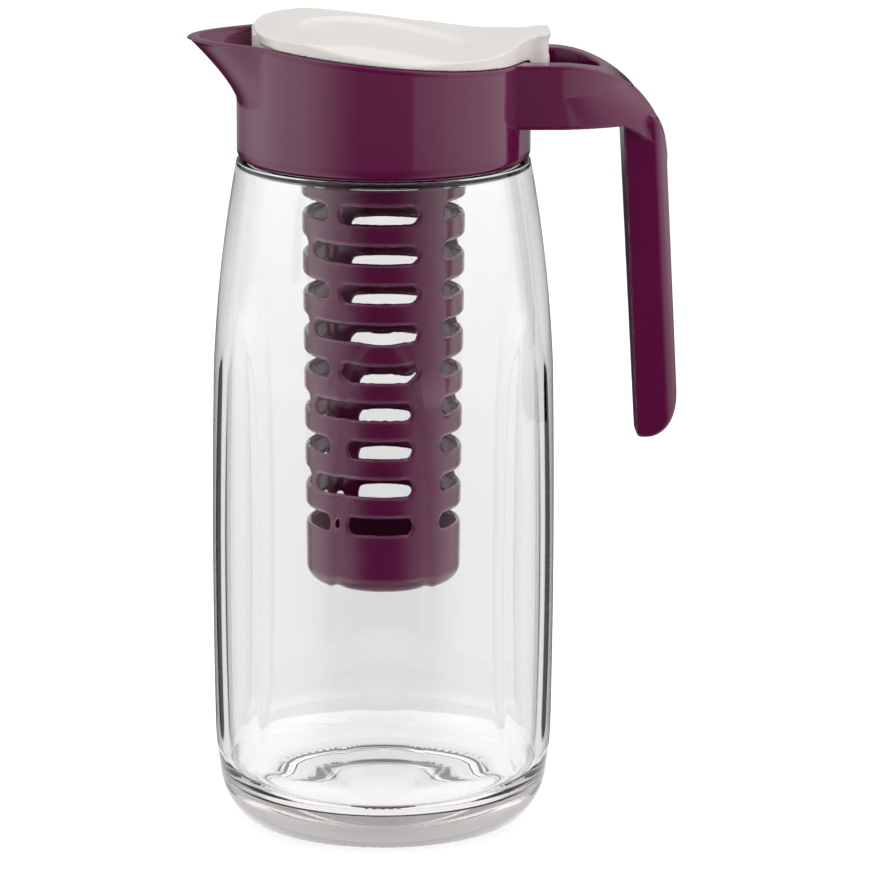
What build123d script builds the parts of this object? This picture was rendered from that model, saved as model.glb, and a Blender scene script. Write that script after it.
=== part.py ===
from build123d import *
from math import acos, cos, degrees, radians, sin
import os

os.makedirs("parts", exist_ok=True)

# Fruit infuser pitcher, in millimetres.
# The origin is the middle of the base on the table, +Z is up, the spout points to -X and the handle to +X.

# Glass jug
RING_IN = 42.0            # bearing ring under the base, inner and outer radius
RING_OUT = 48.0
PUNT_RISE = 3.8           # hollow under the base
PUNT_STEP = 2.0
PUNT_MID = (20.0, 3.35)
HEEL_CURVE = (54.8, 6.3)
HEEL_R = 57.8
HEEL_Z = 24.0
BELLY_R = 58.4
BELLY_Z = 104.0
SHOULDER_R = 57.7         # where the body starts to draw in
SHOULDER_Z = 158.0
SHOULDER_CURVE = (54.9, 192.0)
CROWN_R = 49.4            # where the shoulder turns in under the collar
CROWN_Z = 225.0
CROWN_CURVE = (48.4, 227.4)
CROWN_END = 46.0
NECK_R = 44.0
NECK_Z = 228.4
RIM_Z = 254.0
BORE_R = 40.5
FLOOR_Z = 9.0             # top of the thick base, inside
FLOOR_R = 40.0
FLOOR_CURVE = (50.4, 12.8)
WALL = 3.7
WAIST_CURVE = (51.2, 192.0)
THROAT = (46.6, 220.0)    # where the inside turns in to the bore
THROAT_CURVE = (44.2, 226.0)
BORE_Z = 229.4
FACET_FLAT = 56.3         # from the axis to the six flats, outside and inside
FACET_FLAT_IN = 52.8
FACET_TURN = -2.5         # the screwed-down collar stops a little off the facets
RIM_ROUND = 1.2

# Collar with its spout and handle
COLLAR_R = 49.5
SKIRT_R = 47.0
SKIRT_Z = 229.0
SKIRT_ROUND = 3.0
LEDGE_Z = 256.0           # web that clamps the seal and carries the basket
LEDGE_T = 2.5
LEDGE_R = 36.5
FRONT_RIM_Z = 271.0       # rim height at the spout and at the handle
REAR_RIM_Z = 263.5
MID_RIM_Z = 268.2
RIM_FRONT_X = -42.0
RIM_REAR_X = 40.0
SPOUT_Z = 249.5           # where the spout starts to leave the cylinder
SPOUT_REACH = 16.6
SPOUT_CURVE = 1.3
SPOUT_TIP_R = 2.0
SPOUT_WALL = 4.5
SPOUT_STEPS = (0.12, 0.4, 0.7, 1.0, 1.16)   # levels of the lofted sections, as shares of the spout's height
CHANNEL_STEPS = (0.5, 0.7, 1.0, 1.2)

# Handle
ARCH_HALF = 24.0          # half width at the collar
ARCH_LOW_Z = 241.8        # flat underside
ARCH_BEND_X = 57.0        # centre and half sizes of the elliptical back of the arch
ARCH_BEND_Z = 227.0
ARCH_BEND_A = 39.2
ARCH_UNDER = (88.2, 236.2)
ARCH_ROOT_X = 30.0        # hidden start of the arch, inside the collar's wall
ARCH_SIDE_X = 54.0        # where the sides start to draw together
ARCH_SIDE_POWER = 0.6
ARCH_SIDE_STEPS = (0.3, 0.6, 0.82, 0.95)    # points of a side, as shares of the way to its nose
ARCH_LEVELS = (225.0, 236.0, 245.0, 254.0, 265.0)
ARCH_NOSE_X = 84.5        # where the top ends in a point; below it the sides follow the back down
ARCH_BLUNT = 1.5          # how far the sides would run on past the back
POCKET_HALF = 15.5        # open pocket behind the lid
POCKET_FLOOR_Z = 246.0
GRIP_TOP_X = 79.6         # inner face of the grip, at the top and at the bottom
GRIP_LOW_X = 86.0
GRIP_LOW_Z = 132.3
GRIP_TOP_HALF = 11.5
GRIP_LOW_HALF = 5.5
GRIP_DEPTH = 15.6
GRIP_FLAT = 9.0           # flat part of the grip's sides
GRIP_END_A = 11.6         # half sizes of the elliptical end, behind
GRIP_END_B = 17.5
GRIP_FRONT_ROUND = 2.3
GRIP_SPARE = 3.0          # how far the lofted grip runs on past its ends before it is trimmed
GRIP_JOIN = ((94.0, 230.0), (88.0, 242.0))  # trim where the grip runs up into the arch

# Lid
LID_R = 48.4
LID_FRONT_X = -45.0
LID_GAP = 0.3
LID_SKIN = 2.2
LID_CORNER = 10.0
TAIL_HALF = 8.5
TAIL_X = 55.0
LIP = 1.3
LIP_Z = 269.0
LID_BACK_X = -50.0        # start of the lid's side view, ahead of its front edge
LID_TOP = ((-28.0, 273.6), (0.0, 271.5), (22.0, 268.5), (36.0, 267.7), (46.0, 269.6))
LID_TOP_FRONT_Z = 273.9
LID_TOP_TAIL_Z = 273.0
PLUG_R = 45.2
PLUG_T = 1.7
PLUG_Z = 262.3
DISH_R = 29.0
DISH_DEPTH = 0.6
HINGE_X = 53.0
HINGE_Z = 259.0
BARREL_R = 3.0
PIN_R = 2.0
PIN_END = 18.0
PIN_PLAY = 0.05
PIN_FREE = 0.4            # gap beyond a pin's end

# Seal
SEAL_IN = 40.6
SEAL_OUT = 43.8

# Infuser basket
TUBE_TOP_R = 28.2
TUBE_LOW_R = 26.2
TUBE_WALL = 2.0
TUBE_LOW_Z = 83.0
TUBE_ROUND = 5.5
FLANGE_R = 41.0
FLANGE_T = 2.0
FLANGE_Z = LEDGE_Z + LEDGE_T
SPIGOT_R = 36.42          # turns in the ledge
SPIGOT_T = 1.8
SPIGOT_Z = 253.3
LUG_R = 38.2
LUG_T = 2.3
LUG_SPAN = 14.0           # degrees
LUG_COUNT = 3
LUG_ANGLE = 20.0
NOTCH_PLAY = 4.0          # degrees
NOTCH_GAP = 0.5
TWIST = 45.0              # degrees from locked to the notches
SLOT_H = 5.0
SLOT_REACH = 6.0          # how far a slot's cut reaches on either side of the wall
SLOT_PITCH = 13.35
SLOT_TOP_Z = 226.8
SLOT_ROWS = 10
SLOT_TURN = -92.5         # direction that slot angles are counted from
LONG_FIRST = ((-132.0, -42.5), (-30.5, 25.0))
SHORT_FIRST = ((-132.0, -68.0), (-58.0, 25.0))
POUR_SLOTS = 6
POUR_IN = 29.8
POUR_OUT = 34.0
POUR_SPAN = 42.0

HIGH = 300.0              # cutters and stock that reach past the part
WIDE = 60.0
STOCK_Z = 275.0
OVER = 1.0                # how far a cut starts ahead of a face


def turned(radius, angle):
    """Point in plan at a radius and an angle in degrees from +X."""
    return (radius * cos(radians(angle)), radius * sin(radians(angle)))


def spout_reach(z):
    """How far the spout's tip line stands from the axis at a height."""
    rise = (z - SPOUT_Z) / (FRONT_RIM_Z - SPOUT_Z)
    return COLLAR_R + SPOUT_REACH * rise ** SPOUT_CURVE


def spout_sketch(z, body_r, tip, tip_r):
    """Nose in plan: two lines that leave the collar's circle and meet in a small round tip."""
    lean = degrees(acos((body_r - tip_r) / (tip - tip_r)))
    near = turned(body_r, 180 - lean)
    far = turned(body_r, 180 + lean)
    tip_x = tip_r - tip
    near_tip = (tip_x + turned(tip_r, 180 - lean)[0], turned(tip_r, 180 - lean)[1])
    far_tip = (near_tip[0], -near_tip[1])
    with BuildSketch(Plane.XY.offset(z)) as nose:
        with BuildLine():
            Line(near, near_tip)
            ThreePointArc(near_tip, (-tip, 0), far_tip)
            Line(far_tip, far)
            Line(far, near)
        make_face()
    return nose.sketch


def arch_plan(z):
    """Plan of the arch at a height: two sides that draw together to a nose."""
    rise = min((z - ARCH_BEND_Z) / (REAR_RIM_Z - ARCH_BEND_Z), 1)
    back = ARCH_BEND_X + ARCH_BEND_A * (1 - rise * rise) ** 0.5
    nose = max(back, ARCH_NOSE_X) + ARCH_BLUNT
    side = [
        (ARCH_SIDE_X + share * (nose - ARCH_SIDE_X), ARCH_HALF * (1 - share * share) ** ARCH_SIDE_POWER)
        for share in ARCH_SIDE_STEPS
    ]
    other = [(x, -y) for x, y in reversed(side)]
    first = (ARCH_SIDE_X, ARCH_HALF)
    last = (ARCH_SIDE_X, -ARCH_HALF)
    with BuildSketch(Plane.XY.offset(z)) as plan:
        with BuildLine():
            Polyline(last, (ARCH_ROOT_X, -ARCH_HALF), (ARCH_ROOT_X, ARCH_HALF), first)
            Spline(first, *side, (nose, 0), *other, last, tangents=((1, 0), (-1, 0)))
        make_face()
    return plan.sketch


def rim_curve(lift):
    """Side view of the rim, falling from the spout to the handle."""
    return Spline(
        (RIM_FRONT_X, FRONT_RIM_Z + lift),
        (0, MID_RIM_Z + lift),
        (RIM_REAR_X, REAR_RIM_Z + lift),
        tangents=((1, 0), (1, 0)),
    )


def lid_top_curve(drop):
    """Side view of the lid's top, with its saddle and the rising tail."""
    points = ((LID_BACK_X, LID_TOP_FRONT_Z), *LID_TOP, (TAIL_X + LIP, LID_TOP_TAIL_Z))
    return Spline(*[(x, z - drop) for x, z in points])


def sector(middle, span, inner, outer):
    """Ring sector in the sketch at hand, about an angle in degrees."""
    first = middle - span / 2
    last = middle + span / 2
    with BuildLine() as outline:
        Line(turned(inner, first), turned(outer, first))
        ThreePointArc(turned(outer, first), turned(outer, middle), turned(outer, last))
        Line(turned(outer, last), turned(inner, last))
        ThreePointArc(turned(inner, last), turned(inner, middle), turned(inner, first))
    make_face(outline.edges())


def row_slots(half_row):
    """Slot angles of a whole row: the given half and the same half turned by 180 degrees."""
    return [(start + turn, stop + turn) for turn in (0, 180) for start, stop in half_row]


def slot_cutter(start, stop):
    """Slot at height zero between two angles, wide enough to pass the tube's wall."""
    end_angle = degrees(SLOT_H / 2 / TUBE_TOP_R)
    first = SLOT_TURN + start + end_angle
    span = stop - start - 2 * end_angle
    with BuildSketch(Plane.XZ.rotated((0, 0, first))) as section:
        with Locations((TUBE_TOP_R, 0)):
            Rectangle(2 * SLOT_REACH, SLOT_H)
    revolve(section.sketch, axis=Axis.Z, revolution_arc=span)
    for angle in (first, first + span):
        outward = Vector(*turned(1, angle))
        with BuildSketch(Plane(outward * (TUBE_TOP_R - SLOT_REACH), z_dir=outward)) as end:
            Circle(SLOT_H / 2)
        extrude(end.sketch, amount=2 * SLOT_REACH)


# Inside of the jug, taken out of the glass below
with BuildPart() as jug_cavity:
    with BuildSketch(Plane.XZ):
        with BuildLine():
            heel = (HEEL_R - WALL, HEEL_Z + 2)
            shoulder = (SHOULDER_R - WALL, SHOULDER_Z)
            Line((0, FLOOR_Z), (FLOOR_R, FLOOR_Z))
            ThreePointArc((FLOOR_R, FLOOR_Z), FLOOR_CURVE, heel)
            ThreePointArc(heel, (BELLY_R - WALL, BELLY_Z), shoulder)
            ThreePointArc(shoulder, WAIST_CURVE, THROAT)
            ThreePointArc(THROAT, THROAT_CURVE, (BORE_R, BORE_Z))
            Polyline((BORE_R, BORE_Z), (BORE_R, RIM_Z + OVER), (0, RIM_Z + OVER), (0, FLOOR_Z))
        make_face()
    revolve(axis=Axis.Z)
    with BuildSketch():
        RegularPolygon(FACET_FLAT_IN, 6, major_radius=False, rotation=FACET_TURN)
    extrude(amount=HIGH, mode=Mode.INTERSECT)

with BuildPart() as glass_jug:
    with BuildSketch(Plane.XZ):
        with BuildLine():
            ThreePointArc((0, PUNT_RISE), PUNT_MID, (RING_IN - PUNT_STEP, PUNT_STEP))
            Polyline((RING_IN - PUNT_STEP, PUNT_STEP), (RING_IN, 0), (RING_OUT, 0))
            ThreePointArc((RING_OUT, 0), HEEL_CURVE, (HEEL_R, HEEL_Z))
            ThreePointArc((HEEL_R, HEEL_Z), (BELLY_R, BELLY_Z), (SHOULDER_R, SHOULDER_Z))
            ThreePointArc((SHOULDER_R, SHOULDER_Z), SHOULDER_CURVE, (CROWN_R, CROWN_Z))
            ThreePointArc((CROWN_R, CROWN_Z), CROWN_CURVE, (CROWN_END, NECK_Z))
            Polyline((CROWN_END, NECK_Z), (NECK_R, NECK_Z), (NECK_R, RIM_Z), (0, RIM_Z), (0, PUNT_RISE))
        make_face()
    revolve(axis=Axis.Z)
    with BuildSketch():
        RegularPolygon(FACET_FLAT, 6, major_radius=False, rotation=FACET_TURN)
    extrude(amount=HIGH, mode=Mode.INTERSECT)
    add(jug_cavity.part, mode=Mode.SUBTRACT)
    fillet(glass_jug.edges().group_by(Axis.Z)[-1], RIM_ROUND)

# The glass is one piece. It is stored in three lengths, so that collision stays close to its thin wall.
with BuildPart() as jug_base:
    add(glass_jug.part)
    split(bisect_by=Plane.XY.offset(HEEL_Z), keep=Keep.BOTTOM)
jug_base.part.label = "jug_base"

with BuildPart() as jug_wall:
    add(glass_jug.part)
    split(bisect_by=Plane.XY.offset(HEEL_Z), keep=Keep.TOP)
    split(bisect_by=Plane.XY.offset(SHOULDER_Z), keep=Keep.BOTTOM)
jug_wall.part.label = "jug_wall"

with BuildPart() as jug_neck:
    add(glass_jug.part)
    split(bisect_by=Plane.XY.offset(SHOULDER_Z), keep=Keep.TOP)
jug_neck.part.label = "jug_neck"

# Arch of the handle: sides lofted through its plans, trimmed to its side view, with the open pocket
with BuildPart() as arch:
    for level in ARCH_LEVELS:
        add(arch_plan(level))
    loft()
    with BuildSketch(Plane.XZ):
        with BuildLine():
            Line((ARCH_ROOT_X, REAR_RIM_Z), (ARCH_BEND_X, REAR_RIM_Z))
            EllipticalCenterArc(
                (ARCH_BEND_X, ARCH_BEND_Z), ARCH_BEND_A, REAR_RIM_Z - ARCH_BEND_Z, start_angle=0, arc_size=90
            )
            arch_tip = (ARCH_BEND_X + ARCH_BEND_A, ARCH_BEND_Z)
            ThreePointArc(arch_tip, ARCH_UNDER, (GRIP_TOP_X, ARCH_LOW_Z))
            Polyline((GRIP_TOP_X, ARCH_LOW_Z), (ARCH_ROOT_X, ARCH_LOW_Z), (ARCH_ROOT_X, REAR_RIM_Z))
        make_face()
    extrude(amount=WIDE, both=True, mode=Mode.INTERSECT)
    with BuildSketch(Plane.XY.offset(POCKET_FLOOR_Z)):
        with Locations((ARCH_BEND_X, 0)):
            Circle(POCKET_HALF)
            Rectangle(ARCH_ROOT_X, 2 * POCKET_HALF, align=(Align.MAX, Align.CENTER))
    extrude(amount=HIGH, mode=Mode.SUBTRACT)
    with BuildSketch(Plane.XZ):
        with Locations((HINGE_X, HINGE_Z)):
            Circle(PIN_R + PIN_PLAY)
    extrude(amount=PIN_END + PIN_FREE, both=True, mode=Mode.SUBTRACT)

# Grip: sections flat in front and round behind that narrow downwards, trimmed to a round-ended side view
with BuildPart() as grip:
    for z, inner_x, half in (
        (ARCH_LOW_Z + GRIP_SPARE, GRIP_TOP_X, GRIP_TOP_HALF),
        (GRIP_LOW_Z - GRIP_SPARE, GRIP_LOW_X, GRIP_LOW_HALF),
    ):
        with BuildSketch(Plane.XY.offset(z)):
            with BuildLine():
                flat_x = inner_x + GRIP_FLAT
                EllipticalCenterArc((flat_x, 0), GRIP_DEPTH - GRIP_FLAT, half, start_angle=-90, arc_size=180)
                Polyline((flat_x, half), (inner_x, half), (inner_x, -half), (flat_x, -half))
            make_face()
    loft()
    with BuildSketch(Plane.XZ) as grip_side:
        with BuildLine():
            front_low = (GRIP_LOW_X, GRIP_LOW_Z)
            end_x = GRIP_LOW_X + GRIP_DEPTH - GRIP_END_A
            end_z = GRIP_LOW_Z + GRIP_END_B
            end = EllipticalCenterArc((end_x, end_z), GRIP_END_A, GRIP_END_B, start_angle=-90, arc_size=90)
            back_top = (ARCH_BEND_X + ARCH_BEND_A, ARCH_BEND_Z)
            Polyline(end @ 1, back_top, *GRIP_JOIN, (GRIP_TOP_X, ARCH_LOW_Z), front_low, end @ 0)
        make_face()
        fillet(grip_side.vertices().sort_by_distance(front_low)[0], GRIP_FRONT_ROUND)
    extrude(amount=WIDE, both=True, mode=Mode.INTERSECT)

with BuildPart() as spout:
    for rise in SPOUT_STEPS:
        level = SPOUT_Z + rise * (FRONT_RIM_Z - SPOUT_Z)
        add(spout_sketch(level, COLLAR_R, spout_reach(level), SPOUT_TIP_R))
    loft()

with BuildPart() as spout_channel:
    for rise in CHANNEL_STEPS:
        level = SPOUT_Z + rise * (FRONT_RIM_Z - SPOUT_Z)
        add(spout_sketch(level, SKIRT_R, spout_reach(level) - SPOUT_WALL, SPOUT_TIP_R / 2))
    loft()

with BuildPart() as collar:
    with BuildSketch(Plane.XZ):
        with BuildLine():
            round_x = COLLAR_R - SKIRT_ROUND
            round_z = SKIRT_Z + SKIRT_ROUND
            Polyline((0, SKIRT_Z), (round_x, SKIRT_Z))
            CenterArc((round_x, round_z), SKIRT_ROUND, -90, 90)
            Polyline((COLLAR_R, round_z), (COLLAR_R, STOCK_Z), (0, STOCK_Z), (0, SKIRT_Z))
        make_face()
    revolve(axis=Axis.Z)
    add(spout.part)
    add(arch.part)
    add(grip.part)
    with BuildSketch(Plane.XZ):
        with BuildLine():
            Line((-WIDE * 2, FRONT_RIM_Z), (RIM_FRONT_X, FRONT_RIM_Z))
            rim_curve(0)
            Polyline(
                (RIM_REAR_X, REAR_RIM_Z),
                (WIDE * 2, REAR_RIM_Z),
                (WIDE * 2, HIGH),
                (-WIDE * 2, HIGH),
                (-WIDE * 2, FRONT_RIM_Z),
            )
        make_face()
    extrude(amount=WIDE, both=True, mode=Mode.SUBTRACT)
    with BuildSketch():
        Circle(SKIRT_R)
    extrude(amount=LEDGE_Z, mode=Mode.SUBTRACT)
    with BuildSketch(Plane.XY.offset(LEDGE_Z + LEDGE_T)):
        Circle(SKIRT_R)
    extrude(amount=HIGH, mode=Mode.SUBTRACT)
    add(spout_channel.part, mode=Mode.SUBTRACT)
    with BuildSketch(Plane.XY.offset(LEDGE_Z - OVER)):
        Circle(LEDGE_R)
        for number in range(LUG_COUNT):
            middle = LUG_ANGLE + TWIST + number * 360 / LUG_COUNT
            sector(middle, LUG_SPAN + NOTCH_PLAY, LEDGE_R - OVER, LUG_R + NOTCH_GAP)
    extrude(amount=LEDGE_T + 2 * OVER, mode=Mode.SUBTRACT)
collar.part.label = "collar"

with BuildPart() as collar_seal:
    with BuildSketch(Plane.XY.offset(RIM_Z)):
        Circle(SEAL_OUT)
        Circle(SEAL_IN, mode=Mode.SUBTRACT)
    extrude(amount=LEDGE_Z - RIM_Z)
collar_seal.part.label = "collar_seal"

# Hollow under the lid's skin
with BuildPart() as lid_hollow:
    with BuildSketch(Plane.XZ):
        with BuildLine():
            under = lid_top_curve(LID_SKIN)
            Polyline(under @ 1, (TAIL_X + LIP, HINGE_Z), (LID_BACK_X, HINGE_Z), under @ 0)
        make_face()
    extrude(amount=WIDE, both=True)
    with BuildSketch() as hollow_plan:
        Circle(PLUG_R - PLUG_T)
        with Locations((LID_FRONT_X + LID_R - PLUG_R + PLUG_T, 0)):
            Rectangle(LID_R, 2 * LID_R, align=(Align.MAX, Align.CENTER), mode=Mode.SUBTRACT)
    extrude(amount=HIGH, mode=Mode.INTERSECT)

# Shallow dish in the lid's top
with BuildPart() as lid_dish:
    with BuildSketch(Plane.XZ):
        with BuildLine():
            dish_floor = lid_top_curve(DISH_DEPTH)
            Polyline(dish_floor @ 1, (TAIL_X + LIP, HIGH), (LID_BACK_X, HIGH), dish_floor @ 0)
        make_face()
    extrude(amount=WIDE, both=True)
    with BuildSketch():
        Circle(DISH_R)
    extrude(amount=HIGH, mode=Mode.INTERSECT)

# Ring under the lid that drops inside the collar
with BuildPart() as lid_plug:
    with BuildSketch(Plane.XY.offset(PLUG_Z)) as plug_plan:
        Circle(PLUG_R)
        with Locations((LID_FRONT_X + LID_R - PLUG_R, 0)):
            Rectangle(LID_R, 2 * LID_R, align=(Align.MAX, Align.CENTER), mode=Mode.SUBTRACT)
    extrude(amount=STOCK_Z - PLUG_Z)
    with BuildSketch(Plane.XZ):
        with BuildLine():
            under = lid_top_curve(LID_SKIN / 2)
            Polyline(under @ 1, (TAIL_X + LIP, PLUG_Z), (LID_BACK_X, PLUG_Z), under @ 0)
        make_face()
    extrude(amount=WIDE, both=True, mode=Mode.INTERSECT)
    add(lid_hollow.part, mode=Mode.SUBTRACT)

# Lid: its side view trimmed to its plan, hollow below, with the plug ring, the hinge arm and the stub pins
with BuildPart() as lid:
    with BuildSketch(Plane.XZ):
        with BuildLine():
            top = lid_top_curve(0)
            under = rim_curve(LID_GAP)
            Polyline(top @ 1, (TAIL_X, LIP_Z), (TAIL_X, REAR_RIM_Z + LID_GAP), under @ 1)
            Polyline(under @ 0, (LID_BACK_X, FRONT_RIM_Z + LID_GAP), top @ 0)
        make_face()
    extrude(amount=WIDE, both=True)
    with BuildSketch() as lid_plan:
        Circle(LID_R)
        with Locations((LID_FRONT_X, 0)):
            Rectangle(LID_R, 2 * LID_R, align=(Align.MAX, Align.CENTER), mode=Mode.SUBTRACT)
        fillet(lid_plan.vertices().group_by(Axis.X)[0], LID_CORNER)
        with Locations((TAIL_X + LIP, 0)):
            Rectangle(TAIL_X / 2, 2 * TAIL_HALF, align=(Align.MAX, Align.CENTER))
        fillet(lid_plan.vertices().filter_by_position(Axis.X, LID_R - BARREL_R, LID_R), LID_CORNER)
    extrude(amount=HIGH, mode=Mode.INTERSECT)
    add(lid_dish.part, mode=Mode.SUBTRACT)
    add(lid_hollow.part, mode=Mode.SUBTRACT)
    add(lid_plug.part)
    with BuildSketch(Plane.XZ):
        with BuildLine():
            Polyline(
                (HINGE_X - BARREL_R, HINGE_Z),
                (HINGE_X - BARREL_R, REAR_RIM_Z + OVER),
                (TAIL_X, REAR_RIM_Z + OVER),
                (HINGE_X + BARREL_R, HINGE_Z),
                (HINGE_X - BARREL_R, HINGE_Z),
            )
        make_face()
        with Locations((HINGE_X, HINGE_Z)):
            Circle(BARREL_R)
    extrude(amount=TAIL_HALF, both=True)
    with BuildSketch(Plane.XZ):
        with Locations((HINGE_X, HINGE_Z)):
            Circle(PIN_R)
    extrude(amount=PIN_END, both=True)
lid.part.label = "lid"

# Slots of one basket row, each a ring sector with two round ends
with BuildPart() as long_first_row:
    for start, stop in row_slots(LONG_FIRST):
        slot_cutter(start, stop)

with BuildPart() as short_first_row:
    for start, stop in row_slots(SHORT_FIRST):
        slot_cutter(start, stop)

# Basket: tapered tube, flange with pour slots, spigot with bayonet lugs, and rows of slots
with BuildPart() as basket:
    with BuildSketch(Plane.XZ) as tube_wall:
        with BuildLine():
            Polyline(
                (0, TUBE_LOW_Z),
                (TUBE_LOW_R, TUBE_LOW_Z),
                (TUBE_TOP_R, FLANGE_Z),
                (FLANGE_R, FLANGE_Z),
                (FLANGE_R, FLANGE_Z + FLANGE_T),
                (TUBE_TOP_R - TUBE_WALL, FLANGE_Z + FLANGE_T),
                (TUBE_LOW_R - TUBE_WALL, TUBE_LOW_Z + TUBE_WALL),
                (0, TUBE_LOW_Z + TUBE_WALL),
                (0, TUBE_LOW_Z),
            )
        make_face()
        corners = tube_wall.vertices().filter_by_position(Axis.X, TUBE_LOW_R - TUBE_WALL, TUBE_LOW_R)
        fillet(corners.sort_by(Axis.Y)[0], TUBE_ROUND)
        fillet(corners.sort_by(Axis.Y)[1], TUBE_ROUND - TUBE_WALL)
    revolve(axis=Axis.Z)
    with BuildSketch(Plane.XY.offset(SPIGOT_Z)):
        Circle(SPIGOT_R)
        Circle(SPIGOT_R - SPIGOT_T, mode=Mode.SUBTRACT)
    extrude(amount=FLANGE_Z - SPIGOT_Z)
    with BuildSketch(Plane.XY.offset(SPIGOT_Z)):
        for number in range(LUG_COUNT):
            sector(LUG_ANGLE + number * 360 / LUG_COUNT, LUG_SPAN, SPIGOT_R - OVER, LUG_R)
    extrude(amount=LUG_T)
    with BuildSketch(Plane.XY.offset(FLANGE_Z - OVER)):
        for number in range(POUR_SLOTS):
            sector(number * 360 / POUR_SLOTS, POUR_SPAN, POUR_IN, POUR_OUT)
    extrude(amount=FLANGE_T + 2 * OVER, mode=Mode.SUBTRACT)
    for row in range(SLOT_ROWS):
        with Locations((0, 0, SLOT_TOP_Z - row * SLOT_PITCH)):
            add(short_first_row.part if row % 2 == 0 else long_first_row.part, mode=Mode.SUBTRACT)

# The basket is one moulding too, stored as its slotted tube and its flange with the bayonet
with BuildPart() as basket_tube:
    add(basket.part)
    split(bisect_by=Plane.XY.offset(SPIGOT_Z), keep=Keep.BOTTOM)
basket_tube.part.label = "basket_tube"

with BuildPart() as basket_flange:
    add(basket.part)
    split(bisect_by=Plane.XY.offset(SPIGOT_Z), keep=Keep.TOP)
basket_flange.part.label = "basket_flange"

for piece in (jug_base, jug_wall, jug_neck, collar, collar_seal, lid, basket_tube, basket_flange):
    export_step(piece.part, "parts/" + piece.part.label + ".step")
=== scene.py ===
"""Visual model of the fruit infuser pitcher.

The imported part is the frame. Finer meshes stand for its solids: glass with soft facet edges and a screw thread,
mouldings with rounded edges, and a basket with rounded slot lips. Sizes are in millimetres, meshes in metres.
"""

import logging
import math
from dataclasses import dataclass
from enum import Enum
from typing import Any, Callable, Iterable, Sequence

import bpy
import numpy as np
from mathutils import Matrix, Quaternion, Vector


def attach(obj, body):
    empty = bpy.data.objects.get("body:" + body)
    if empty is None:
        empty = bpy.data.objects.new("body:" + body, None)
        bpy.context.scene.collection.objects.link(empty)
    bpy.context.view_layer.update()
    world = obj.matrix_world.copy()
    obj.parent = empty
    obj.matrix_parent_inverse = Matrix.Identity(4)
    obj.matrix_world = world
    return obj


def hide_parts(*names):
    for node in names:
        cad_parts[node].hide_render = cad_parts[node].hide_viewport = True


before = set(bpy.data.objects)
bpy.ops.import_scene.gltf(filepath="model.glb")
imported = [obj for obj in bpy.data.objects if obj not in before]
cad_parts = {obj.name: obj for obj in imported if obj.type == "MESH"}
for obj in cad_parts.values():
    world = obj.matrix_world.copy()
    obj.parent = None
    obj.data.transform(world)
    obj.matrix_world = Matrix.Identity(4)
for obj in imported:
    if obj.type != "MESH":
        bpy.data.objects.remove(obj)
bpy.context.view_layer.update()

LOG = logging.getLogger("pitcher")
MM = 0.001
IMAGE_SIZE = 870          # pixels along each side of the photograph

Values = np.ndarray
Distance = Callable[[Values, Values, Values], Values]
Point = tuple[float, float]
Colour = tuple[float, float, float]


class Body(str, Enum):
    """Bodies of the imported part."""

    JUG = "jug"
    COLLAR = "collar"
    LID = "lid"
    BASKET = "basket"


class Slot(str, Enum):
    """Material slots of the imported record."""

    GLASS = "glass"
    PLUM = "plum_plastic"
    CREAM = "cream_plastic"


class Axis(Enum):
    """Coordinate axes by index."""

    X = 0
    Y = 1
    Z = 2


# Shader expressions


class Sock:
    """Output socket of a shader node that takes part in arithmetic."""

    def __init__(self, paint: "Paint", socket: bpy.types.NodeSocket) -> None:
        """Keeps a socket and the tree it belongs to."""
        self.paint = paint
        self.socket = socket

    def __add__(self, other: "Sock | float") -> "Sock":
        """Sum of two values."""
        return self.paint.math("ADD", self, other)

    def __sub__(self, other: "Sock | float") -> "Sock":
        """Difference of two values."""
        return self.paint.math("SUBTRACT", self, other)

    def __rsub__(self, other: float) -> "Sock":
        """Number less this value."""
        return self.paint.math("SUBTRACT", other, self)

    def __mul__(self, other: "Sock | float") -> "Sock":
        """Product of two values."""
        return self.paint.math("MULTIPLY", self, other)

    def __gt__(self, other: "Sock | float") -> "Sock":
        """One where this value is larger, else zero."""
        return self.paint.math("GREATER_THAN", self, other)

    __radd__ = __add__
    __rmul__ = __mul__

    def output(self, name: str) -> "Sock":
        """Another output of the same node."""
        return Sock(self.paint, self.socket.node.outputs[name])


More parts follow.
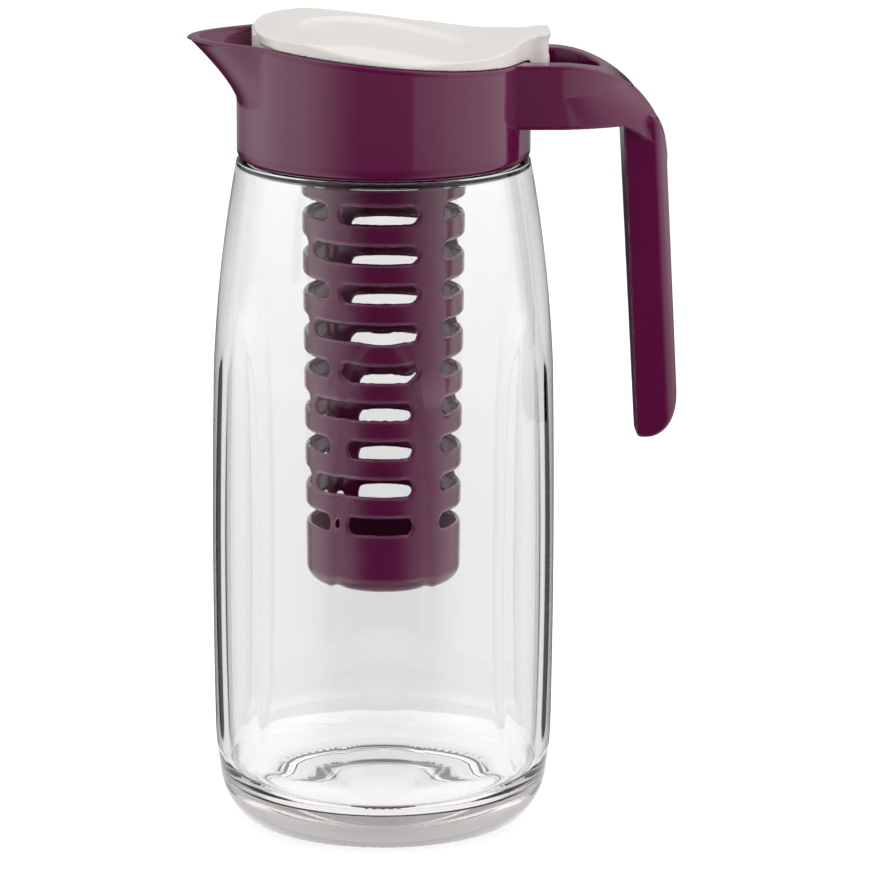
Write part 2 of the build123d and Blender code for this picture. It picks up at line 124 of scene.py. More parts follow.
class Paint:
    """Builds the nodes of one material or world."""

    def __init__(self, tree: bpy.types.NodeTree) -> None:
        """Empties a node tree to build in."""
        self.tree = tree
        tree.nodes.clear()

    def node(self, kind: str, settings: dict[str, Any] | None = None,
             sockets: dict[str | int, Any] | None = None) -> Sock:
        """Adds a node.

        Args:
            kind: Blender's name of the node type.
            settings: attributes of the node, set first.
            sockets: values or links of its inputs, by name or number.

        Returns:
            The first output of the node.
        """
        made = self.tree.nodes.new(kind)
        for name, value in (settings or {}).items():
            setattr(made, name, value)
        for name, value in (sockets or {}).items():
            if isinstance(value, Sock):
                self.tree.links.new(value.socket, made.inputs[name])
            else:
                made.inputs[name].default_value = value
        return Sock(self, made.outputs[0]) if made.outputs else Sock(self, made.inputs[0])

    def math(self, operation: str, first: Sock | float, second: Sock | float = 0.0) -> Sock:
        """Adds a Math node for two values."""
        return self.node("ShaderNodeMath", {"operation": operation}, {0: first, 1: second})

    def smooth(self, value: Sock, low: float, high: float) -> Sock:
        """Smooth step of a value from zero at low to one at high."""
        return self.node("ShaderNodeMapRange", {"interpolation_type": "SMOOTHSTEP"},
                         {"Value": value, "From Min": low, "From Max": high})

    def mix(self, share: Sock, first: Colour, second: Colour) -> Sock:
        """Mixes two colours by a share."""
        sockets = {"Factor": share, 6: (*first, 1.0), 7: (*second, 1.0)}
        return Sock(self, self.node("ShaderNodeMix", {"data_type": "RGBA"}, sockets).socket.node.outputs[2])

    def noise(self, scale: float, detail: float = 2.0) -> Sock:
        """Noise over the object's own coordinates."""
        place = self.node("ShaderNodeTexCoord").output("Object")
        return self.node("ShaderNodeTexNoise", None, {"Vector": place, "Scale": scale, "Detail": detail})

    def bump(self, height: Sock, distance: float, strength: float) -> Sock:
        """Normal that a height in metres gives."""
        return self.node("ShaderNodeBump", None, {"Height": height, "Distance": distance, "Strength": strength})


def new_paint(name: str) -> tuple[bpy.types.Material, Paint]:
    """Makes a material.

    Args:
        name: its name.

    Returns:
        The material and the builder of its nodes.
    """
    material = bpy.data.materials.new(name)
    material.use_nodes = True
    return material, Paint(material.node_tree)


# Finishes


@dataclass(frozen=True)
class MouldedPlastic:
    """Coloured plastic as it leaves a polished mould."""

    name: str
    colour: Colour
    deep: Colour
    roughness: float
    spread: float
    ripple: float
    ior: float = 1.5
    flow_scale: float = 38.0
    grain_scale: float = 420.0
    ripple_scale: float = 260.0

    def build(self) -> bpy.types.Material:
        """Builds the material.

        Returns:
            A gloss that varies a little, over a colour with faint flow marks and a slight ripple.
        """
        material, paint = new_paint(self.name)
        flow = paint.noise(self.flow_scale, 3.0)
        grain = paint.noise(self.grain_scale, 2.0)
        colour = paint.mix(paint.smooth(flow, 0.3, 0.7), self.deep, self.colour)
        roughness = self.roughness + self.spread * (grain - 0.5) + self.spread * (flow - 0.5)
        normal = paint.bump(paint.noise(self.ripple_scale, 1.0), self.ripple * MM, 0.25)
        shader = paint.node("ShaderNodeBsdfPrincipled", None, {
            "Base Color": colour, "Roughness": roughness, "IOR": self.ior, "Normal": normal,
        })
        paint.node("ShaderNodeOutputMaterial", None, {"Surface": shader})
        return material


@dataclass(frozen=True)
class PressedGlass:
    """Clear glass that looks grey where a line of sight runs far inside it, with painted grey shade where it is seen
    edge-on.
    """

    name: str = "pressed_glass"
    clear: Colour = (1.0, 1.0, 1.0)
    # edge: painted shade, a grey that edge-on glass takes in place of dark refraction
    edge: Colour = (0.93, 0.925, 0.92)
    tint: Colour = (0.5, 0.46, 0.45)
    density: float = 13.0
    ior: float = 1.46
    waviness: float = 0.02
    wave_scale: float = 30.0
    painted_shade_facing: Point = (0.45, 1.0)
    lets_through: Colour = (0.97, 0.97, 0.97)

    def build(self) -> bpy.types.Material:
        """Builds the material.

        Returns:
            A glass that lets lamps through, with a faint waviness, painted grey shade at its edges and a plain
            absorption.
        """
        material, paint = new_paint(self.name)
        facing = paint.node("ShaderNodeLayerWeight", None, {"Blend": 0.5}).output("Facing")
        # Painted shade: the colour turns to the edge grey where the surface is seen edge-on
        colour = paint.mix(paint.smooth(facing, *self.painted_shade_facing), self.clear, self.edge)
        normal = paint.bump(paint.noise(self.wave_scale, 1.0), self.waviness * MM, 0.5)
        glass = paint.node("ShaderNodeBsdfPrincipled", None, {
            "Base Color": colour, "Roughness": 0.0, "IOR": self.ior, "Transmission Weight": 1.0, "Normal": normal,
        })
        through = paint.node("ShaderNodeBsdfTransparent", None, {"Color": (*self.lets_through, 1.0)})
        shadow = paint.node("ShaderNodeLightPath").output("Is Shadow Ray")
        mixed = paint.node("ShaderNodeMixShader", None, {0: shadow, 1: glass, 2: through})
        inside = paint.node("ShaderNodeVolumeAbsorption", None, {"Color": (*self.tint, 1.0), "Density": self.density})
        paint.node("ShaderNodeOutputMaterial", None, {"Surface": mixed, "Volume": inside})
        return material


@dataclass(frozen=True)
class Silicone:
    """Milky rubber of the seal."""

    name: str = "seal_rubber"
    colour: Colour = (0.62, 0.62, 0.6)
    dusty: Colour = (0.7, 0.7, 0.68)
    dust_scale: float = 300.0
    roughness: float = 0.45
    spread: float = 0.2

    def build(self) -> bpy.types.Material:
        """Builds the material.

        Returns:
            A soft pale finish with faint dust.
        """
        material, paint = new_paint(self.name)
        dust = paint.noise(self.dust_scale, 4.0)
        shader = paint.node("ShaderNodeBsdfPrincipled", None, {
            "Base Color": paint.mix(dust, self.colour, self.dusty), "Roughness": self.roughness + self.spread * dust,
            "Subsurface Weight": 0.2,
        })
        paint.node("ShaderNodeOutputMaterial", None, {"Surface": shader})
        return material


class Finishes:
    """The materials of the part, each built once."""

    def __init__(self) -> None:
        """Builds every finish."""
        self.glass = PressedGlass().build()
        self.plum = MouldedPlastic(
            "plum_gloss", (0.118, 0.0045, 0.052), (0.112, 0.004, 0.049), 0.1, 0.03, 0.006).build()
        self.basket = MouldedPlastic(
            "plum_basket", (0.145, 0.004, 0.066), (0.137, 0.0035, 0.062), 0.12, 0.03, 0.006).build()
        self.cream = MouldedPlastic(
            "cream_satin", (0.78, 0.745, 0.715), (0.765, 0.73, 0.7), 0.34, 0.08, 0.012).build()
        self.silicone = Silicone().build()


# Solid modelling with signed distances, in millimetres


class Round:
    """Set operations on signed distances that leave rounded edges."""

    @staticmethod
    def meet(first: Values, second: Values, radius: float) -> Values:
        """Common part, with its outer edge rounded.

        Args:
            first: signed distance of one solid, negative inside.
            second: signed distance of the other solid.
            radius: radius of the edge.

        Returns:
            Signed distance of the common part.
        """
        over = np.hypot(np.maximum(first + radius, 0.0), np.maximum(second + radius, 0.0))
        return np.minimum(np.maximum(first, second), -radius) + over

    @staticmethod
    def join(first: Values, second: Values, radius: float) -> Values:
        """Union, with its inner corner filleted."""
        return -Round.meet(-first, -second, radius)

    @staticmethod
    def cut(first: Values, second: Values, radius: float) -> Values:
        """First solid less the second, with the new edge rounded."""
        return Round.meet(first, -second, radius)


@dataclass
class SurfaceNet:
    """Meshes the zero surface of a signed distance inside a box.

    Attributes:
        low: lowest corner of the box.
        high: highest corner of the box.
        step: size of a cell.
    """

    low: tuple[float, float, float]
    high: tuple[float, float, float]
    step: float
    probe: float = 0.02
    passes: int = 3

    def mesh(self, distance: Distance) -> tuple[Values, Values, Values]:
        """Meshes a solid.

        Args:
            distance: signed distance of the solid.

        Returns:
            Points, quads and the points' normals.
        """
        corner = np.array(self.low)
        axes = [np.arange(low, high + self.step, self.step) for low, high in zip(self.low, self.high)]
        field = distance(*np.meshgrid(*axes, indexing="ij"))
        inside = field < 0
        rings, spots = [], []
        for axis in Axis:
            here, there = self._neighbours(axis)
            change = inside[here] != inside[there]
            at = np.argwhere(change)
            near, far = field[here][change], field[there][change]
            spot = corner + self.step * at
            spot[:, axis.value] += self.step * near / (near - far)
            ring = self._cells_round(at, axis, field.shape)
            ring[near > 0] = ring[near > 0][:, ::-1]
            rings.append(ring)
            spots.append(np.repeat(spot, 4, axis=0))
        quads = np.concatenate(rings)
        _, places = np.unique(quads.ravel(), return_inverse=True)
        spots = np.concatenate(spots)
        counts = np.bincount(places)
        points = np.stack([np.bincount(places, spots[:, i]) / counts for i in range(3)], axis=1)
        for _ in range(self.passes):
            slope = self._slope(distance, points)
            move = slope * (distance(*points.T) / (slope ** 2).sum(axis=1))[:, None]
            points -= np.clip(move, -self.step / 2, self.step / 2)
        slope = self._slope(distance, points)
        return points, places.reshape(-1, 4), slope / np.linalg.norm(slope, axis=1)[:, None]

    @staticmethod
    def _neighbours(axis: Axis) -> tuple[tuple[slice, ...], tuple[slice, ...]]:
        """Pairs each grid point with the next one.

        Args:
            axis: direction to the next point.

        Returns:
            Slices of the points and of their neighbours.
        """
        here, there = [slice(None)] * 3, [slice(None)] * 3
        here[axis.value], there[axis.value] = slice(None, -1), slice(1, None)
        return tuple(here), tuple(there)

    @staticmethod
    def _cells_round(at: Values, axis: Axis, shape: tuple[int, ...]) -> Values:
        """Finds the cells round grid edges.

        Args:
            at: grid points where the edges start.
            axis: direction of the edges.
            shape: size of the grid.

        Returns:
            Numbers of the four cells round each edge.
        """
        ring = []
        for back_u, back_v in ((0, 0), (1, 0), (1, 1), (0, 1)):
            cell = at.copy()
            cell[:, (axis.value + 1) % 3] -= back_u
            cell[:, (axis.value + 2) % 3] -= back_v
            ring.append(np.ravel_multi_index(cell.T, shape))
        return np.stack(ring, axis=1)

    def _slope(self, distance: Distance, points: Values) -> Values:
        """Measures how a signed distance grows.

        Args:
            distance: signed distance of the solid.
            points: where it is measured.

        Returns:
            Gradient at each point.
        """
        slope = np.empty_like(points)
        for axis in range(3):
            step = np.zeros(3)
            step[axis] = self.probe
            slope[:, axis] = distance(*(points + step).T) - distance(*(points - step).T)
        return slope / (2 * self.probe)


# Curves and meshes


def circle(start: Point, middle: Point, stop: Point) -> tuple[Point, float]:
    """Finds the circle through three points.

    Args:
        start: one point.
        middle: another.
        stop: the third.

    Returns:
        Its centre and radius.
    """
    (x1, y1), (x2, y2), (x3, y3) = start, middle, stop
    twice = 2 * (x1 * (y2 - y3) + x2 * (y3 - y1) + x3 * (y1 - y2))
    a, b, c = x1 * x1 + y1 * y1, x2 * x2 + y2 * y2, x3 * x3 + y3 * y3
    cx = (a * (y2 - y3) + b * (y3 - y1) + c * (y1 - y2)) / twice
    cy = (a * (x3 - x2) + b * (x1 - x3) + c * (x2 - x1)) / twice
    return (cx, cy), math.hypot(x1 - cx, y1 - cy)


def arc(start: Point, middle: Point, stop: Point, count: int) -> list[Point]:
    """Points on the circle through three points.

    Args:
        start: first point.
        middle: any point between.
        stop: last point.
        count: number of steps.

    Returns:
        The points after the first.
    """
    (cx, cy), radius = circle(start, middle, stop)
    first, mid, last = (math.atan2(y - cy, x - cx) for x, y in (start, middle, stop))
    turn = (last - first) % math.tau
    if (mid - first) % math.tau > turn:
        turn -= math.tau
    angles = (first + turn * step / count for step in range(1, count + 1))
    return [(cx + radius * math.cos(angle), cy + radius * math.sin(angle)) for angle in angles]


def straight(start: Point, stop: Point, count: int) -> list[Point]:
    """Points on a line, after its first."""
    return [tuple(s + (e - s) * step / count for s, e in zip(start, stop)) for step in range(1, count + 1)]


class Spline:
    """Natural cubic curve through points of a side view."""

    def __init__(self, points: Sequence[Point]) -> None:
        """Solves for the curve's second derivatives.

        Args:
            points: points that the curve runs through, from left to right.
        """
        self.x, self.y = (np.array(part, float) for part in zip(*points))
        gap = np.diff(self.x)
        rise = np.diff(self.y) / gap
        size = len(points)
        system, right = np.eye(size), np.zeros(size)
        for i in range(1, size - 1):
            system[i, i - 1:i + 2] = gap[i - 1], 2 * (gap[i - 1] + gap[i]), gap[i]
            right[i] = 6 * (rise[i] - rise[i - 1])
        self.bend = np.linalg.solve(system, right)

    def __call__(self, x: Values) -> Values:
        """Reads the curve, which runs on level past its ends.

        Args:
            x: positions.

        Returns:
            Heights there.
        """
        x = np.clip(x, self.x[0], self.x[-1])
        i = np.clip(np.searchsorted(self.x, x) - 1, 0, len(self.x) - 2)
        gap = self.x[i + 1] - self.x[i]
        a, b = (self.x[i + 1] - x) / gap, (x - self.x[i]) / gap
        bend = ((a ** 3 - a) * self.bend[i] + (b ** 3 - b) * self.bend[i + 1]) * gap ** 2 / 6
        return a * self.y[i] + b * self.y[i + 1] + bend


def ease(value: Values, low: float, high: float) -> Values:
    """Smooth step from zero at low to one at high."""
    share = np.clip((value - low) / (high - low), 0.0, 1.0)
    return share * share * (3 - 2 * share)


def fold(value: Values, pitch: float) -> Values:
    """Offset from the nearest multiple of a pitch."""
    return np.mod(value + pitch / 2, pitch) - pitch / 2


def ellipse(u: Values, v: Values, half_u: float, half_v: Values | float) -> Values:
    """Signed distance of an ellipse.

    Args:
        u: positions along one axis, from the centre.
        v: positions along the other.
        half_u: half of the first axis.
        half_v: half of the second axis.

    Returns:
        Signed distance, true near the edge.
    """
    near = np.hypot(u / half_u, v / half_v)
    slope = np.hypot(u / half_u ** 2, v / half_v ** 2)
    return near * (near - 1) / np.maximum(slope, 1e-9)


@dataclass(frozen=True)
class Thread:
    """Screw thread, with the width of its ridge at the foot and the heights where it begins and ends."""

    depth: float
    width: float
    start: float
    stop: float
    pitch: float = 6.0

    def __call__(self, z: Values, angle: Values) -> Values:
        """Measures the ridge.

        Args:
            z: heights.
            angle: angles about the axis, in radians.

        Returns:
            Zero between ridges, rising to the depth on a crest.
        """
        fade = self.pitch / 3
        phase = np.mod(z - self.start - self.pitch * angle / math.tau, self.pitch) - self.pitch / 2
        ridge = 1 - ease(np.abs(phase), self.width / 6, self.width / 2)
        ridge = ridge * ease(z, self.start, self.start + fade) * (1 - ease(z, self.stop - fade, self.stop))
        return self.depth * ridge


def add_mesh(name: str, points: Values, faces: Iterable[Sequence[int]],
             normals: Values | None = None) -> bpy.types.Object:
    """Makes a smooth mesh object.

    Args:
        name: the piece's name.
        points: points in millimetres.
        faces: point numbers of each face.
        normals: the points' normals, where they are known.

    Returns:
        The new object, linked to the scene.
    """
    mesh = bpy.data.meshes.new(name)
    mesh.from_pydata((np.asarray(points) * MM).tolist(), [], [list(face) for face in faces])
    mesh.polygons.foreach_set("use_smooth", [True] * len(mesh.polygons))
    if normals is not None:
        mesh.normals_split_custom_set_from_vertices(normals.tolist())
    piece = bpy.data.objects.new(name, mesh)
    bpy.context.scene.collection.objects.link(piece)
    LOG.info("%s: %d faces", name, len(mesh.polygons))
    return piece


def hide(piece: bpy.types.Object, *rays: str) -> None:
    """Hides a piece from kinds of ray."""
    for ray in rays:
        setattr(piece, f"visible_{ray}", False)


def ring(radius: Values | float, angles: Values, z: Values) -> Values:
    """Points round the axis."""
    return np.stack([radius * np.cos(angles), radius * np.sin(angles), z], axis=1)


def ring_faces(rows: int, columns: int, closed: bool) -> list[tuple[int, ...]]:
    """Quads between rings of points.

    Args:
        rows: number of rings.
        columns: points in each ring.
        closed: whether the last ring joins the first.

    Returns:
        Point numbers of each quad, facing outwards for rings that rise and turn to the left.
    """
    faces = []
    for row in range(rows if closed else rows - 1):
        low, high = row * columns, (row + 1) % rows * columns
        for column in range(columns):
            after = (column + 1) % columns
            faces.append((low + column, low + after, high + after, high + column))
    return faces


def dress(piece: bpy.types.Object, material: bpy.types.Material, body: Body, slot: Slot, *nodes: str) -> None:
    """Gives a piece its finish, its body and the solids that it stands for.

    Args:
        piece: the new piece.
        material: its finish.
        body: the body that it rides on.
        slot: the record's slot of its finish; not used.
        nodes: the solids that it replaces.
    """
    piece.data.materials.append(material)
    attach(piece, body.value)
    if nodes:
        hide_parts(*nodes)


# The part's pieces


@dataclass
class GlassJug:
    """Faceted glass jug with a thick base and a threaded neck."""

    flat_out: float = 56.3
    flat_in: float = 53.6
    facets: int = 6
    facet_turn: float = -2.5
    soft_out: float = 0.35
    soft_in: float = 2.0
    fade: float = 0.78
    fade_z: Point = (14.0, 32.0)
    columns: int = 540
    thread: Thread = Thread(1.5, 3.2, 232.0, 250.0)
    neck_r: float = 44.0
    ring: Point = (41.0, 48.5)
    ring_z: float = 1.0
    stipple: float = 0.1
    stipple_count: int = 90

    def outside(self) -> list[Point]:
        """Draws the outer profile.

        Returns:
            Points from the middle of the underside to the rim.
        """
        path = [(0.0, 3.8)]
        path += arc(path[-1], (20.0, 3.35), (39.0, 2.2), 12)
        path += arc(path[-1], (40.6, 1.5), (42.4, 0.15), 5)
        path += arc(path[-1], (45.0, 0.0), (47.9, 0.2), 6)
        path += arc(path[-1], (53.6, 6.8), (56.4, 16.5), 18)
        path += arc(path[-1], (57.4, 24.0), (57.9, 34.0), 12)
        path += arc(path[-1], (58.4, 104.0), (57.7, 158.0), 36)
        path += arc(path[-1], (55.0, 192.0), (49.7, 227.9), 26)
        path += arc(path[-1], (49.3, 228.6), (48.4, 228.8), 6)
        path += arc(path[-1], (44.6, 228.9), (self.neck_r, 230.2), 4)
        path += straight(path[-1], (self.neck_r, 252.8), 44)
        return path + arc(path[-1], (42.25, 254.0), (40.5, 252.8), 8)

    def inside(self) -> list[Point]:
        """Draws the inner profile.

        Returns:
            Points from the rim down to the middle of the floor.
        """
        path = [(40.5, 252.8)]
        path += straight(path[-1], (40.5, 228.4), 8)
        path += arc(path[-1], (41.1, 227.4), (42.6, 227.0), 6)
        path += straight(path[-1], (45.2, 226.9), 3)
        path += arc(path[-1], (46.1, 226.4), (46.6, 225.4), 5)
        path += arc(path[-1], (51.2, 192.0), (54.0, 158.0), 22)
        path += arc(path[-1], (54.7, 104.0), (54.1, 26.0), 34)
        path += arc(path[-1], (50.8, 15.6), (40.0, 12.0), 16)
        return (path + straight(path[-1], (0.0, 12.2), 8))[1:]

    def flattened(self, radius: Values, flat: float, soft: float, angles: Values) -> Values:
        """Radius with the facets taken off.

        Args:
            radius: radii of the turned profile.
            flat: distance from the axis to a facet.
            soft: how far the facet's edge is rounded off.
            angles: angles of the points.

        Returns:
            The smaller of both radii, with a soft change between them.
        """
        sector = math.tau / self.facets
        turn = math.radians(self.facet_turn) + sector / 2
        facet = flat / np.cos(fold(angles - turn, sector))
        blend = np.maximum(soft - np.abs(radius - facet), 0.0) / soft
        return np.minimum(radius, facet) - blend ** 2 * soft / 4

    def build(self, finishes: Finishes) -> None:
        """Builds the jug and dresses it.

        Args:
            finishes: the part's materials.
        """
        outside, inside = self.outside(), self.inside()
        angles = np.arange(self.columns) * math.tau / self.columns
        rings = []
        for number, (radius, z) in enumerate(outside + inside):
            outer = number < len(outside)
            flat, soft = (self.flat_out, self.soft_out) if outer else (self.flat_in, self.soft_in)
            flat = flat + self.fade * (1 - float(ease(np.array(z), *self.fade_z)))
            reach = self.flattened(np.full(self.columns, radius), flat, soft, angles)
            height = np.full(self.columns, z)
            if outer and abs(radius - self.neck_r) < 1e-6:
                reach = reach + self.thread(height, angles)
            if outer and self.ring[0] < radius < self.ring[1] and z < self.ring_z:
                height = height + self.stipple * (0.5 - 0.5 * np.cos(self.stipple_count * angles))
            rings.append(ring(reach, angles, height))
        points = np.concatenate([rings[0][:1] * (0, 0, 1), *rings[1:-1], rings[-1][:1] * (0, 0, 1)])
        rows = len(rings) - 2
        faces = [tuple(1 + i for i in face) for face in ring_faces(rows, self.columns, False)]
        last = len(points) - 1
        top = last - self.columns
        for column in range(self.columns):
            after = (column + 1) % self.columns
            faces.append((0, 1 + after, 1 + column))
            faces.append((last, top + column, top + after))
        dress(add_mesh("jug_glass", points, faces), finishes.glass, Body.JUG, Slot.GLASS,
              "jug_base", "jug_wall", "jug_neck")


@dataclass
class Rim:
    """Side view of the collar's rim, which falls from the spout to the handle."""

    front: Point = (-43.0, 270.5)
    rear: Point = (40.0, 263.4)
    soft: float = 0.25

    def __call__(self, x: Values) -> Values:
        """Reads the rim, which is level past both ends.

        Args:
            x: positions.

        Returns:
            Rim heights.
        """
        share = (np.clip(x, self.front[0], self.rear[0]) - self.front[0]) / (self.rear[0] - self.front[0])
        drop = share + self.soft * (ease(share, 0.0, 1.0) - share)
        return self.front[1] + (self.rear[1] - self.front[1]) * drop


RIM = Rim()


@dataclass
class Collar:
    """Screw collar with its spout."""

    radius: float = 49.5
    bore: float = 47.0
    low_z: float = 229.0
    low_round: float = 3.0
    ledge_z: float = 256.0
    ledge_t: float = 2.5
    ledge_r: float = 36.5
    notch_r: float = 38.7
    notch_middle: float = 65.0
    notch_span: float = 18.0
    notches: int = 3
    edge: float = 1.0
    spout_z: float = 249.5
    spout_top: float = 271.0
    spout_reach: float = 17.0
    spout_curve: float = 1.3
    spout_span: float = 36.0
    spout_wall: float = 4.5
    thread: Thread = Thread(1.9, 2.6, 235.0, 252.0)
    notch_soft: float = 0.02
    ledge_edge: float = 0.3
    relief: float = 0.4
    low_rows: int = 9
    wall_rows: int = 30
    edge_rows: int = 5
    inner_rows: int = 16
    thread_rows: int = 46
    column_steps: tuple[tuple[float, float, float], ...] = (
        (0, 3, 0.25), (3, 15, 0.75), (15, 45, 1.5), (45, 180, 2.0),
    )

    def angles(self) -> Values:
        """Column angles, closest at the spout's tip."""
        half = np.concatenate([np.arange(*steps) for steps in self.column_steps])
        return np.radians(np.concatenate([half, [180.0], 360.0 - half[:0:-1]]) - 180.0)

    def nose(self, angles: Values, z: Values, body: float, wall: float) -> Values:
        """Radius of the collar with its spout.

        Args:
            angles: column angles.
            z: heights.
            body: radius away from the spout.
            wall: how far the spout's tip line is set back.

        Returns:
            Distance from the axis to the round body, which swells to the spout's broad tip.
        """
        rise = np.clip((z - self.spout_z) / (self.spout_top - self.spout_z), 0.0, 1.2)
        reach = np.maximum(self.radius + self.spout_reach * rise ** self.spout_curve - wall - body, 0.0)
        away = np.abs(np.pi - np.abs(angles))
        return body + reach * (1 - ease(away, 0.0, math.radians(self.spout_span)))

    def rows(self, angles: Values) -> list[tuple[Values, Values]]:
        """Runs round the wall's section.

        Args:
            angles: column angles.

        Returns:
            Radius and height of each ring.
        """
        full = np.ones_like(angles)
        rows: list[tuple[Values, Values]] = []
        low = self.low_z + self.low_round
        begin = -math.acos((self.bore - self.radius + self.low_round) / self.low_round)
        for turn in np.linspace(begin, 0.0, self.low_rows):
            ring_r = self.radius - self.low_round + self.low_round * math.cos(turn)
            rows.append((full * ring_r, full * (low + self.low_round * math.sin(turn))))
        out_top = self.top_of(angles, self.radius, 0.0)
        in_top = self.top_of(angles, self.bore, self.spout_wall)
        for share in np.linspace(0.0, 1.0, self.wall_rows)[1:]:
            z = low + (out_top - self.edge - low) * share
            rows.append((self.nose(angles, z, self.radius, 0.0), z))
        outer = self.nose(angles, out_top, self.radius, 0.0)
        inner = self.nose(angles, in_top, self.bore, self.spout_wall)
        quarter = np.linspace(0.0, math.pi / 2, self.edge_rows)
        for way, wall, top, turns in ((-1, outer, out_top, quarter[1:]), (1, inner, in_top, quarter[::-1])):
            for turn in turns:
                back, drop = self.edge * (1 - math.cos(turn)), self.edge * (1 - math.sin(turn))
                rows.append((wall + way * back, top - drop))
        ledge_top = self.ledge_z + self.ledge_t
        for share in np.linspace(0.0, 1.0, self.inner_rows)[1:]:
            z = in_top - self.edge + (ledge_top + self.relief - in_top + self.edge) * share
            rows.append((self.nose(angles, z, self.bore, self.spout_wall), z))
        hole = self.hole(angles)
        for share in (0.02, 0.3, 0.6, 0.97, 1.0):
            drop = self.ledge_edge if share == 1.0 else 0.0
            rows.append((self.bore + (hole - self.bore) * share, full * (ledge_top - drop)))
        for share in (0.0, 0.03, 0.5, 0.98):
            lift = self.ledge_edge if share == 0.0 else 0.0
            rows.append((hole + (self.bore - hole) * share, full * (self.ledge_z + lift)))
        for z in np.linspace(self.ledge_z - self.relief, self.low_z + 0.1, self.thread_rows):
            rows.append((self.bore - self.thread(full * z, angles), full * z))
        return rows

    def top_of(self, angles: Values, body: float, wall: float) -> Values:
        """Finds where the wall meets the rim's curve.

        Args:
            angles: column angles.
            body: radius away from the spout.
            wall: how far the spout's tip line is set back.

        Returns:
            Rim height of each column.
        """
        z = np.full_like(angles, self.spout_top)
        for _ in range(4):
            z = RIM(self.nose(angles, z, body, wall) * np.cos(angles))
        return z

    def hole(self, angles: Values) -> Values:
        """Measures the ledge's hole with its bayonet notches.

        Args:
            angles: column angles.

        Returns:
            Radius of the hole at each.
        """
        away = np.abs(fold(angles - math.radians(self.notch_middle), math.tau / self.notches))
        half = math.radians(self.notch_span) / 2
        past = ease(away, half - self.notch_soft, half + self.notch_soft)
        return self.notch_r + (self.ledge_r - self.notch_r) * past

    def build(self, finishes: Finishes) -> None:
        """Builds the collar and dresses it.

        Args:
            finishes: the part's materials.
        """
        angles = self.angles()
        rows = self.rows(angles)
        points = np.concatenate([ring(radius, angles, z) for radius, z in rows])
        piece = add_mesh("collar_shell", points, ring_faces(len(rows), len(angles), True))
        dress(piece, finishes.plum, Body.COLLAR, Slot.PLUM, "collar")


